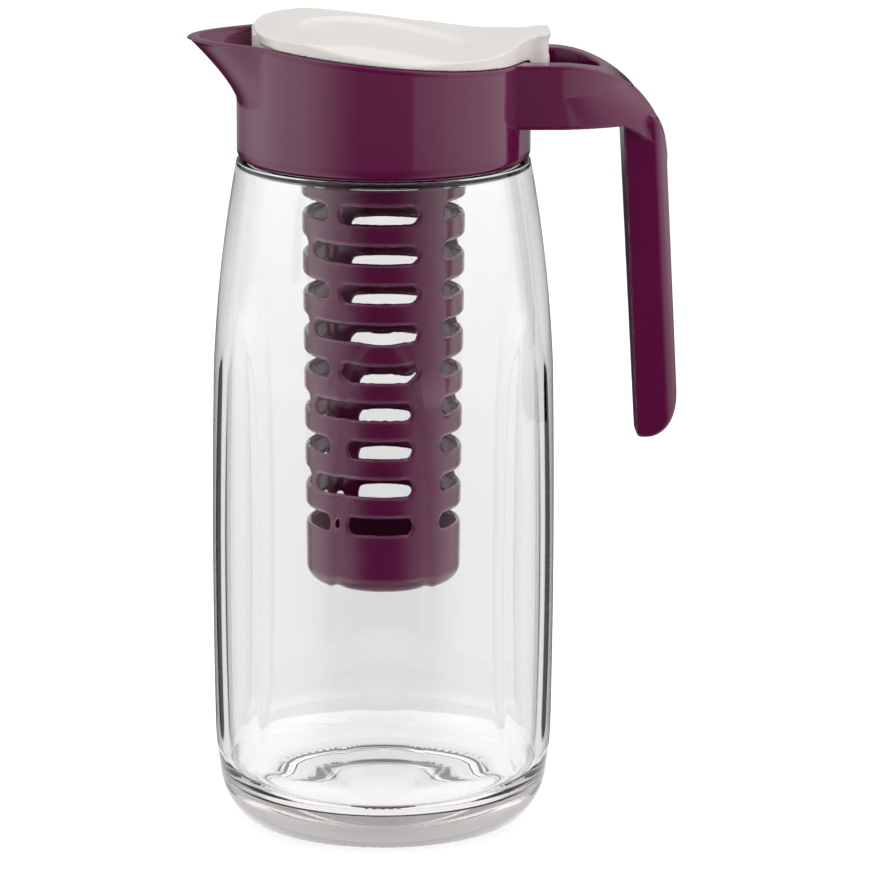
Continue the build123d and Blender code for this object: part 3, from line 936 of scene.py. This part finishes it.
@dataclass
class Handle:
    """Open arch and grip, moulded with the collar."""

    root_r: float = 48.2
    half: float = 24.0
    side_x: float = 54.0
    side_power: float = 1.667
    nose_x: float = 84.5
    blunt: float = 0.1
    top_z: float = 263.5
    bend: Point = (57.0, 227.0)
    bend_a: float = 39.2
    low_z: float = 241.8
    crease: tuple[Point, Point, Point] = ((79.6, 241.8), (88.2, 236.2), (96.2, 227.0))
    pocket_half: float = 15.5
    pocket_end: float = 57.0
    pocket_z: float = 246.0
    hinge: Point = (53.0, 259.0)
    pin_r: float = 2.05
    pin_end: float = 18.4
    grip_top: tuple[float, float, float] = (244.8, 79.6, 11.5)
    grip_low: tuple[float, float, float] = (129.3, 86.0, 5.5)
    grip_depth: float = 15.6
    grip_flat: float = 10.2
    shoulder: float = 6.0
    grip_end_z: float = 132.3
    end_a: float = 11.6
    end_b: float = 17.5
    front_round: float = 2.3
    back_slope: float = 0.055
    pocket_round: float = 1.5
    front_edge: float = 1.0
    end_edge: float = 1.2
    pin_edge: float = 0.2
    least_slope: float = 0.02
    edge: float = 0.9
    step: float = 0.7

    def crown(self, x: Values, z: Values) -> Values:
        """Outline that is level on top and an ellipse behind, and runs down the grip's slanted back.

        Args:
            x, z: positions.

        Returns:
            Signed distance.
        """
        dx, dz = x - self.bend[0], z - self.bend[1]
        curve = ellipse(dx, dz, self.bend_a, self.top_z - self.bend[1])
        return np.where(dx < 0, z - self.top_z, np.where(dz > 0, curve, dx - self.bend_a + dz * self.back_slope))

    def crease_under(self, x: Values, z: Values) -> Values:
        """Level underside of the arch, which curves down into the grip.

        Args:
            x, z: positions.

        Returns:
            Signed distance.
        """
        centre, radius = circle(*self.crease)
        away = np.hypot(x - centre[0], z - centre[1])
        return np.where(x < self.crease[0][0], self.low_z - z, np.maximum(radius - away, centre[1] - z))

    def arch(self, x: Values, y: Values, z: Values) -> Values:
        """Arch whose sides draw together to a nose, with its open pocket.

        Args:
            x, y, z: positions.

        Returns:
            Signed distance.
        """
        rise = np.clip((z - self.bend[1]) / (self.top_z - self.bend[1]), 0.0, 1.0)
        back = self.bend[0] + self.bend_a * np.sqrt(1 - rise ** 2)
        reach = np.maximum(back, self.nose_x) + self.blunt - self.side_x
        run = np.maximum(x - self.side_x, 0.0) / reach
        wide = np.maximum(np.abs(y) / self.half, 1e-6)
        rest = run ** 2 + wide ** self.side_power - 1
        steep = np.hypot(2 * run / reach, self.side_power * wide ** (self.side_power - 1) / self.half)
        side = rest / np.maximum(steep, self.least_slope)
        solid = Round.meet(Round.meet(self.crown(x, z), side, self.edge), self.crease_under(x, z), self.edge)
        pocket = np.hypot(np.maximum(x - self.pocket_end, 0.0), y) - self.pocket_half
        return Round.cut(solid, Round.meet(pocket, self.pocket_z - z, self.pocket_round), self.edge)

    def end_below(self, dx: Values, z: Values) -> Values:
        """End of the grip, level in front and elliptical behind.

        Args:
            dx: distances behind the grip's front.
            z: heights.

        Returns:
            Signed distance.
        """
        over = dx - self.grip_depth + self.end_a
        under = self.grip_end_z + self.end_b - z
        corner = ellipse(over, under, self.end_a, self.end_b)
        return np.where((over > 0) & (under > 0), corner, np.maximum(over - self.end_a, under - self.end_b))

    def grip(self, x: Values, y: Values, z: Values) -> Values:
        """Grip, flat towards the jug and round behind.

        Args:
            x, y, z: positions.

        Returns:
            Signed distance.
        """
        share = (self.grip_top[0] - z) / (self.grip_top[0] - self.grip_low[0])
        inner = self.grip_top[1] + (self.grip_low[1] - self.grip_top[1]) * share
        half = self.grip_top[2] + (self.grip_low[2] - self.grip_top[2]) * share
        dx = x - inner
        deep, past = self.grip_depth - self.grip_flat, np.maximum(dx - self.grip_flat, 0.0)
        section = Round.meet(ellipse(past, y, deep, half), -dx, self.front_edge)
        end = Round.meet(self.end_below(dx, z), -dx, self.front_round)
        outline = Round.meet(Round.meet(section, end, self.end_edge), self.crown(x, z), self.edge)
        return Round.meet(outline, z - self.pocket_z, self.shoulder)

    def distance(self, x: Values, y: Values, z: Values) -> Values:
        """Whole handle, with the holes of the lid's pins.

        Args:
            x, y, z: positions.

        Returns:
            Signed distance.
        """
        solid = Round.join(self.arch(x, y, z), self.grip(x, y, z), self.edge)
        pin = np.maximum(np.hypot(x - self.hinge[0], z - self.hinge[1]) - self.pin_r, np.abs(y) - self.pin_end)
        return np.maximum(Round.cut(solid, pin, self.pin_edge), self.root_r - np.hypot(x, y))

    def build(self, finishes: Finishes) -> None:
        """Builds the handle and dresses it."""
        net = SurfaceNet((40.0, -26.0, 126.0), (103.0, 26.0, 266.0), self.step)
        dress(add_mesh("collar_handle", *net.mesh(self.distance)), finishes.plum, Body.COLLAR, Slot.PLUM)


@dataclass
class Lid:
    """Hinged lid with a saddle top, a shallow dish, a raised tail and a ring that drops into the collar."""

    radius: float = 48.4
    bore: float = 47.0
    front_x: float = -45.0
    corner: float = 10.0
    gap: float = 0.15
    skin: float = 2.0
    tail_half: float = 11.0
    tail_x: float = 55.0
    tail_corner: float = 4.5
    tail_z: float = 261.6
    lip: float = 1.3
    lip_z: Point = (269.0, 274.0)
    over_rim: float = 3.0
    seat_round: float = 0.4
    plug_r: float = 45.2
    plug_t: float = 1.7
    plug_z: float = 262.3
    plug_back: float = 0.8
    hollow_corner: float = 6.0
    hollow_round: float = 1.2
    hollow_edge: float = 0.4
    dish_r: float = 29.8
    dish_depth: float = 1.1
    dish_edge: float = 2.6
    hinge: Point = (53.0, 259.0)
    barrel_r: float = 3.0
    barrel_half: float = 8.5
    barrel_root: float = 0.6
    arm_back: float = 0.4
    arm_half: float = 2.8
    pin_r: float = 2.0
    pin_end: float = 18.0
    pin_edge: float = 0.4
    edge: float = 0.5
    bevel_round: float = 1.6
    bevel_y: float = 38.0
    bevel_bend: float = 0.011
    bevel_x: float = -6.0
    bevel_slope: float = 0.26
    flare: float = 5.0
    step: float = 0.7
    top_points: tuple[Point, ...] = (
        (-50.0, 273.7), (-28.0, 273.7), (-14.0, 273.0), (0.0, 271.4), (12.0, 269.3), (22.0, 267.9), (30.0, 267.7),
        (38.0, 268.5), (46.0, 270.6), (51.0, 271.7), (56.3, 272.4),
    )

    def __post_init__(self) -> None:
        """Makes the curve of the top."""
        self.top = Spline(self.top_points)

    def over_top(self, x: Values, z: Values, drop: Values | float) -> Values:
        """Signed distance above the top's curve, lowered by a drop."""
        slope = (self.top(x + 0.1) - self.top(x - 0.1)) / 0.2
        return (z - self.top(x) + drop) / np.sqrt(1 + slope ** 2)

    def distance(self, x: Values, y: Values, z: Values) -> Values:
        """Whole lid, hollow below, with its barrel and pins.

        Args:
            x, y, z: positions.

        Returns:
            Signed distance.
        """
        out = np.hypot(x, y)
        disc = Round.meet(out - self.radius, self.front_x - x, self.corner)
        end = x - self.tail_x - self.lip * ease(z, *self.lip_z)
        tail = Round.meet(np.abs(y) - self.tail_half, end, self.tail_corner)
        dish = self.dish_depth * (1 - ease(out, self.dish_r - self.dish_edge, self.dish_r))
        over = self.over_top(x, z, dish)
        crease = self.bevel_y + self.bevel_bend * (x - self.bevel_x) ** 2
        bevel = (over + self.bevel_slope * (np.abs(y) - crease)) / math.hypot(1.0, self.bevel_slope)
        plan = Round.join(disc, np.maximum(tail, self.radius / 2 - x), self.flare)
        shell = Round.meet(Round.meet(plan, bevel, self.bevel_round), over, self.edge)
        under = np.where(out > self.bore + self.over_rim, self.tail_z, RIM(x) + self.gap) - z
        shell = Round.meet(shell, under, self.seat_round)
        top = np.maximum(over, bevel)
        set_back = self.front_x + self.plug_back
        plug = Round.meet(np.maximum(out - self.plug_r, set_back - x), self.plug_z - z, self.edge)
        shell = np.minimum(shell, np.maximum(plug, top + self.skin / 2))
        hollow = Round.meet(out - self.plug_r + self.plug_t, set_back + self.plug_t - x, self.hollow_corner)
        shell = Round.cut(shell, Round.meet(hollow, top + self.skin, self.hollow_round), self.hollow_edge)
        dx, dz = x - self.hinge[0], z - self.hinge[1]
        axle = np.hypot(dx, dz)
        arm = np.maximum(np.abs(dx + self.arm_back) - self.barrel_r + self.arm_back,
                         np.abs(dz - self.arm_half) - self.arm_half)
        barrel = Round.join(axle - self.barrel_r, arm, self.edge)
        barrel = Round.meet(barrel, np.abs(y) - self.barrel_half, self.edge)
        pins = Round.meet(axle - self.pin_r, np.abs(y) - self.pin_end, self.pin_edge)
        return np.minimum(Round.join(shell, barrel, self.barrel_root), pins)

    def build(self, finishes: Finishes) -> None:
        """Builds the lid and dresses it."""
        net = SurfaceNet((-48.0, -50.0, 254.0), (59.0, 50.0, 276.0), self.step)
        dress(add_mesh("lid_moulding", *net.mesh(self.distance)), finishes.cream, Body.LID, Slot.CREAM, "lid")


@dataclass
class Basket:
    """Slotted infuser basket with a flange, a bayonet spigot and pour slots."""

    top_r: float = 28.2
    low_r: float = 26.2
    wall: float = 2.0
    low_z: float = 83.0
    low_round: float = 5.5
    flange_r: float = 41.0
    flange_z: float = 258.5
    flange_t: float = 2.0
    spigot_r: float = 36.42
    spigot_t: float = 1.8
    spigot_z: float = 253.3
    lug_r: float = 38.2
    lug_t: float = 2.3
    lug_span: float = 14.0
    lug_angle: float = 20.0
    lugs: int = 3
    slot_h: float = 5.0
    slot_pitch: float = 13.35
    slot_top: float = 226.8
    slot_rows: int = 10
    slot_turn: float = -92.5
    lip: float = 1.8
    edge: float = 0.4
    flange_edge: float = 0.5
    lug_edge: float = 0.3
    root: float = 0.6
    overlap: float = 1.0
    pour_slots: int = 6
    pour_in: float = 29.8
    pour_out: float = 34.0
    pour_span: float = 42.0
    step: float = 0.9
    long_first: tuple[Point, ...] = ((-132.0, -42.5), (-30.5, 25.0))
    short_first: tuple[Point, ...] = ((-132.0, -68.0), (-58.0, 25.0))

    def slots(self, angle: Values, z: Values) -> Values:
        """Rows of slots, measured on the unrolled wall.

        Args:
            angle: angles about the axis.
            z: heights.

        Returns:
            Signed distance.
        """
        row = np.clip(np.round((self.slot_top - z) / self.slot_pitch), 0, self.slot_rows - 1)
        up = z - (self.slot_top - row * self.slot_pitch)
        half = self.slot_h / 2
        found = []
        for pattern in (self.short_first, self.long_first):
            best = np.full_like(z, 1e3)
            for start, stop in pattern:
                for turn in (0.0, 180.0):
                    middle = math.radians(self.slot_turn + (start + stop) / 2 + turn)
                    run = math.radians(stop - start) / 2 * self.top_r - half
                    along = np.abs(fold(angle - middle, math.tau)) * self.top_r
                    best = np.minimum(best, np.hypot(np.maximum(along - run, 0.0), up) - half)
            found.append(best)
        return np.where(row % 2 == 0, found[0], found[1])

    @staticmethod
    def sectors(out: Values, angle: Values, count: int, middle: float, span: float,
                inner: float, outer: float) -> Values:
        """Signed distance of equal ring sectors in plan.

        Args:
            out: distances from the axis.
            angle: angles about it.
            count: number of sectors.
            middle: angle of one of them, in degrees.
            span: width of each, in degrees.
            inner: inner radius.
            outer: outer radius.

        Returns:
            Signed distance of the nearest sector.
        """
        away = np.abs(fold(angle - math.radians(middle), math.tau / count))
        side = (away - math.radians(span) / 2) * out
        return np.maximum(side, np.maximum(inner - out, out - outer))

    def distance(self, x: Values, y: Values, z: Values) -> Values:
        """Whole basket.

        Args:
            x, y, z: positions.

        Returns:
            Signed distance.
        """
        out, angle = np.hypot(x, y), np.arctan2(y, x)
        share = (z - self.low_z) / (self.flange_z - self.low_z)
        radius = self.low_r + (self.top_r - self.low_r) * share
        top = self.flange_z + self.flange_t
        tube = Round.meet(Round.meet(out - radius, self.low_z - z, self.low_round), z - top, self.edge)
        hollow = Round.meet(out - radius + self.wall, self.low_z + self.wall - z, self.low_round - self.wall)
        tube = Round.cut(tube, hollow, self.edge)
        tube = Round.cut(tube, self.slots(angle, z), self.lip)
        layer = np.abs(z - self.flange_z - self.flange_t / 2) - self.flange_t / 2
        flange = Round.meet(out - self.flange_r, layer, self.flange_edge)
        pour = self.sectors(out, angle, self.pour_slots, 0.0, self.pour_span, self.pour_in, self.pour_out)
        flange = Round.cut(np.maximum(flange, radius - self.wall / 2 - out), pour, self.edge)
        spigot = np.abs(out - self.spigot_r + self.spigot_t / 2) - self.spigot_t / 2
        spigot = np.maximum(spigot, np.maximum(self.spigot_z - z, z - top + self.overlap))
        lug_in = self.spigot_r - self.overlap
        lug = self.sectors(out, angle, self.lugs, self.lug_angle, self.lug_span, lug_in, self.lug_r)
        lug = Round.meet(lug, np.abs(z - self.spigot_z - self.lug_t / 2) - self.lug_t / 2, self.lug_edge)
        return Round.join(tube, np.minimum(np.minimum(flange, spigot), lug), self.root)

    def build(self, finishes: Finishes) -> None:
        """Builds the basket and dresses it.

        Args:
            finishes: the part's materials.
        """
        net = SurfaceNet((-43.0, -43.0, 81.0), (43.0, 43.0, 263.0), self.step)
        piece = add_mesh("basket_moulding", *net.mesh(self.distance))
        dress(piece, finishes.basket, Body.BASKET, Slot.PLUM, "basket_tube", "basket_flange")


@dataclass
class Seal:
    """Flat ring between the glass rim and the collar's ledge."""

    node: str = "collar_seal"

    def build(self, finishes: Finishes) -> None:
        """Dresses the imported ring.

        Args:
            finishes: the part's materials.
        """
        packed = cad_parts[self.node]
        packed.data.materials.clear()
        packed.data.materials.append(finishes.silicone)


# Studio


@dataclass
class Softbox:
    """Large soft lamp."""

    name: str
    place: tuple[float, float, float]
    aim: tuple[float, float, float]
    wide: float
    high: float
    radiance: float

    def build(self) -> None:
        """Adds the lamp, hidden from the camera itself."""
        lamp = bpy.data.lights.new(self.name, "AREA")
        lamp.shape = "RECTANGLE"
        lamp.size, lamp.size_y = self.wide, self.high
        lamp.energy = self.radiance * self.wide * self.high * math.pi
        holder = bpy.data.objects.new(self.name, lamp)
        holder.location = self.place
        holder.rotation_euler = (Vector(self.aim) - Vector(self.place)).to_track_quat("-Z", "Y").to_euler()
        hide(holder, "camera", "glossy", "transmission")
        bpy.context.scene.collection.objects.link(holder)


@dataclass
class Studio:
    """White floor and backdrop, soft lamps and the camera."""

    distance: float = 1.700
    height: float = 0.536
    azimuth: float = -2.5
    pitch: float = 13.35
    focal_px: float = 5115.0
    sensor: float = 36.0
    axis_column: float = 383.5
    roll: float = 0.18
    aim_z: float = 0.125
    far: float = 50.0
    floor_half: float = 6.0
    floor_glow: float = 0.56
    ambient: float = 0.66
    gap: float = 0.36
    panel: float = 1.4
    above: float = 0.25
    behind: float = 0.3
    card_r: float = 100.0
    card_drop: float = 0.4
    card_corners: int = 64
    card_glow: float = 1.0
    seen_through: float = 0.95
    seen_aside: float = 0.22
    seen_below: float = 0.12
    seen_inside: float = 0.8
    gap_least: float = 0.1
    right_least: float = 0.5
    right_gain: float = 0.35
    some_depth: float = 0.5
    inside_depth: float = 3.5
    steep_z: Point = (0.28, 0.45)
    rear_turn: Point = (140.0, 165.0)
    level_low: Point = (-0.192, -0.172)
    level_high: Point = (-0.14, -0.08)
    sharp_turn: Point = (22.5, 24.5)
    soft_turn: Point = (12.0, 60.0)
    right_rise: Point = (20.0, 85.0)
    right_end: Point = (100.0, 160.0)
    left_rise: Point = (-70.0, -15.0)
    left_end: Point = (-152.0, -100.0)
    above_z: Point = (0.2, 0.6)
    behind_turn: Point = (100.0, 140.0)
    behind_z: Point = (-0.03, 0.05)
    slant_turn: Point = (30.0, 60.0)
    aside_sine: Point = (0.3, 0.95)
    below_z: Point = (-0.26, -0.17)

    def add_camera(self) -> None:
        """Adds the camera at the photograph's view."""
        lens = bpy.data.cameras.new("camera")
        lens.sensor_width = self.sensor
        lens.lens = self.focal_px / IMAGE_SIZE * self.sensor
        lens.clip_end = self.far
        camera = bpy.data.objects.new("camera", lens)
        turn, tilt = math.radians(self.azimuth), math.radians(self.pitch)
        right = Vector((math.cos(turn), math.sin(turn), 0.0))
        ahead = Vector((-math.sin(turn), math.cos(turn), 0.0))
        depth = self.distance * math.cos(tilt) + (self.height - self.aim_z) * math.sin(tilt)
        aside = (IMAGE_SIZE / 2 - self.axis_column) / self.focal_px * depth
        camera.location = right * aside - ahead * self.distance + Vector((0.0, 0.0, self.height))
        look = ahead * math.cos(tilt) - Vector((0.0, 0.0, math.sin(tilt)))
        level = look.to_track_quat("-Z", "Y")
        camera.rotation_euler = (level @ Quaternion((0.0, 0.0, 1.0), math.radians(self.roll))).to_euler()
        bpy.context.scene.collection.objects.link(camera)
        bpy.context.scene.camera = camera

    def add_world(self) -> None:
        """Makes the surroundings: white to the eye, two tall panels in gloss, and an even fill for matt surfaces."""
        world = bpy.data.worlds.new("studio")
        bpy.context.scene.world = world
        world.use_nodes = True
        world.cycles.sampling_method = "NONE"
        paint = Paint(world.node_tree)
        smooth = paint.smooth
        path = paint.node("ShaderNodeLightPath")
        parts = paint.node("ShaderNodeSeparateXYZ", None, {0: paint.node("ShaderNodeTexCoord").output("Generated")})
        turn = paint.math("ARCTAN2", parts, parts.output("Y") * -1.0) * math.degrees(1.0) - self.azimuth
        height = parts.output("Z")
        size = paint.math("ABSOLUTE", turn)
        steep = smooth(paint.math("ABSOLUTE", height), *self.steep_z)
        rear = smooth(size, *self.rear_turn)
        level = smooth(height, *self.level_low) * (1 - smooth(height, *self.level_high))
        edge = level * smooth(turn, *self.sharp_turn) + (1 - level) * smooth(turn, *self.soft_turn)
        right = self.right_least + self.right_gain * smooth(turn, *self.right_rise)
        right = edge * right * (1 - smooth(turn, *self.right_end))
        left = (1 - smooth(turn, *self.left_rise)) * smooth(turn, *self.left_end)
        above = smooth(height, *self.above_z)
        behind = smooth(size, *self.behind_turn) * smooth(height, *self.behind_z)
        gap = self.gap * (self.gap_least + (1 - self.gap_least) * level)
        gloss = gap + self.panel * (right + left) + self.above * above + self.behind * behind
        deep = path.output("Transmission Depth")
        inside = (deep > self.some_depth) * (1 - (deep > self.inside_depth))
        aslant = paint.math("MAXIMUM", inside * smooth(size, *self.slant_turn), rear)
        kept = self.seen_inside * paint.math("MAXIMUM", aslant, steep)
        gloss = (deep > self.some_depth) * kept + (1 - inside) * gloss
        sine = paint.math("SINE", turn * math.radians(1.0))
        aside = smooth(paint.math("ABSOLUTE", sine), *self.aside_sine)
        below = 1 - smooth(height, *self.below_z)
        through = self.seen_through - self.seen_aside * aside - self.seen_below * below
        camera = path.output("Is Camera Ray")
        seen = camera + (1 - camera) * through
        matt = path.output("Diffuse Depth") > self.some_depth
        shiny = path.output("Glossy Depth") > self.some_depth
        strength = shiny * gloss + (1 - shiny) * (matt * self.ambient + (1 - matt) * seen)
        shade = paint.node("ShaderNodeBackground", None, {"Color": (1.0, 1.0, 1.0, 1.0), "Strength": strength})
        paint.node("ShaderNodeOutputWorld", None, {"Surface": shade})

    def add_floor(self) -> None:
        """Lays the white floor, which keeps a soft shadow and a faint reflection."""
        half = self.floor_half / MM
        corners = np.array([(-half, -half, 0), (half, -half, 0), (half, half, 0), (-half, half, 0)])
        floor = add_mesh("floor", corners, [(0, 1, 2, 3)])
        material, paint = new_paint("floor_white")
        shader = paint.node("ShaderNodeBsdfPrincipled", None, {
            "Base Color": (0.8, 0.8, 0.8, 1.0), "Roughness": 0.12, "Emission Color": (1.0, 1.0, 1.0, 1.0),
            "Emission Strength": self.floor_glow,
        })
        paint.node("ShaderNodeOutputMaterial", None, {"Surface": shader})
        floor.data.materials.append(material)
        hide(floor, "glossy", "transmission", "diffuse")

    def add_card(self) -> None:
        """Lays a white disc below the jug, which only its glass shows."""
        turns = np.arange(self.card_corners) * math.tau / self.card_corners
        rim = ring(self.card_r, turns, np.full_like(turns, -self.card_drop))
        card = add_mesh("floor_card", rim, [tuple(range(self.card_corners))])
        material, paint = new_paint("card_white")
        shader = paint.node("ShaderNodeEmission", None, {"Color": (1.0, 1.0, 1.0, 1.0), "Strength": self.card_glow})
        paint.node("ShaderNodeOutputMaterial", None, {"Surface": shader})
        card.data.materials.append(material)
        hide(card, "camera", "diffuse", "shadow")

    def build(self) -> None:
        """Sets up the studio."""
        bpy.context.scene.view_settings.view_transform = "Standard"
        self.add_camera()
        self.add_world()
        self.add_floor()
        self.add_card()
        for lamp in (
            Softbox("lamp_left", (-1.3, -0.55, 0.75), (0.0, 0.0, 0.15), 0.9, 1.4, 1.0),
            Softbox("lamp_right", (1.25, -0.35, 0.7), (0.0, 0.0, 0.15), 0.9, 1.4, 1.7),
            Softbox("lamp_top", (0.0, 0.2, 1.6), (0.0, 0.0, 0.1), 1.4, 1.0, 1.7),
        ):
            lamp.build()


def main() -> None:
    """Builds the part's pieces and the studio."""
    logging.basicConfig(level=logging.INFO, format="%(name)s %(message)s")
    finishes = Finishes()
    for assembly in (GlassJug(), Collar(), Handle(), Lid(), Basket(), Seal()):
        assembly.build(finishes)
        LOG.info("%s done", type(assembly).__name__)
    Studio().build()


if __name__ == "__main__":
    main()
